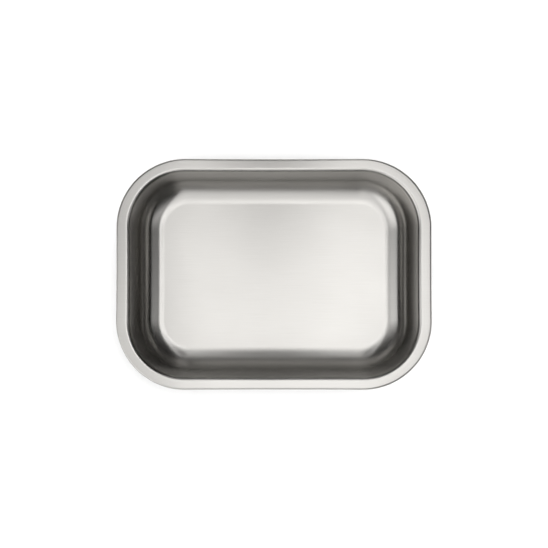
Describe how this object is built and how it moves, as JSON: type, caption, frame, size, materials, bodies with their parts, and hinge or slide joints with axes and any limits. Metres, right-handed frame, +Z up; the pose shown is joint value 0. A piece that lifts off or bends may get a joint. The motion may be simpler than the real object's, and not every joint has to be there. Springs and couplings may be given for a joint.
{
  "type": "instrument dish",
  "caption": "Shallow rectangular instrument dish in seamless stainless steel, with rounded corners, steep walls, a flat turned-out rim and an edge rolled under it.",
  "frame": {"origin": "middle of the flat underside, on the surface that the dish stands on", "axes": "+X along the length, +Y along the width, +Z up out of the mouth"},
  "size_m": [0.22, 0.161, 0.042],
  "materials": {
    "brushed_stainless": "satin, brushed along the length before drawing"
  },
  "bodies": {
    "root": {"dish_pan": "brushed_stainless"}
  },
  "joints": []
}
